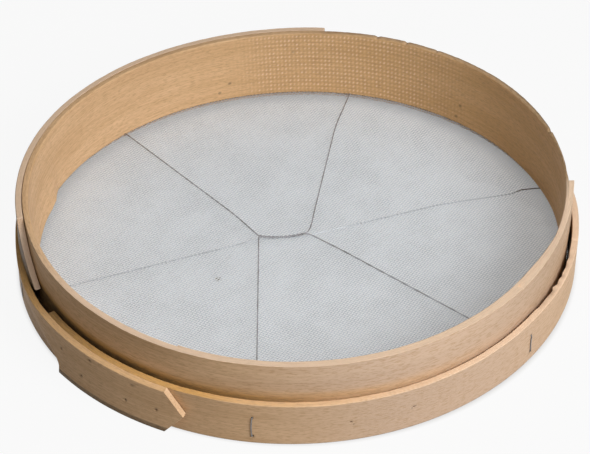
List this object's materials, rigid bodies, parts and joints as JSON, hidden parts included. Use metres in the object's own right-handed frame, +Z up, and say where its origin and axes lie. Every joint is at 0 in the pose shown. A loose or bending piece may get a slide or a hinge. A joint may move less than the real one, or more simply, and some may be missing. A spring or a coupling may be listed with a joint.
{
  "type": "wooden sieve",
  "caption": "Round bentwood hand sieve: a lapped wooden hoop and an outer band clamp a square-woven wire cloth, braced by wires twisted together in the middle.",
  "frame": {"origin": "on the hoop's axis, at the level of the band's bottom edge, where the sieve stands", "axes": "+Z up along the hoop's axis, -Y towards the front with the band's pointed lap at front left"},
  "size_m": [0.4281, 0.4257, 0.069],
  "materials": {
    "hoop_wood": "planed beech, unvarnished",
    "doubling_wood": "planed beech, unvarnished",
    "band_wood": "sawn and planed beech, unvarnished",
    "cloth_wire": "drawn bright wire, woven",
    "brace_wire": "drawn dull wire",
    "nail_steel": "dull dark steel"
  },
  "bodies": {
    "root": {"hoop": "hoop_wood", "doubling_strip": "doubling_wood", "band": "band_wood", "wire_cloth": "cloth_wire", "cloth_margin": "cloth_wire", "brace_wire_a": "brace_wire", "brace_wire_b": "brace_wire", "brace_wire_c": "brace_wire", "lap_nail_1": "nail_steel", "lap_nail_2": "nail_steel", "lap_nail_3": "nail_steel", "lap_nail_4": "nail_steel", "lap_nail_5": "nail_steel", "lap_nail_6": "nail_steel", "back_left_nail_1": "nail_steel", "back_left_nail_2": "nail_steel", "back_right_nail_1": "nail_steel", "back_right_nail_2": "nail_steel", "front_nail_1": "nail_steel", "front_nail_2": "nail_steel", "hoop_lap_nail_1": "nail_steel", "hoop_lap_nail_2": "nail_steel", "doubling_nail": "nail_steel"}
  },
  "joints": []
}
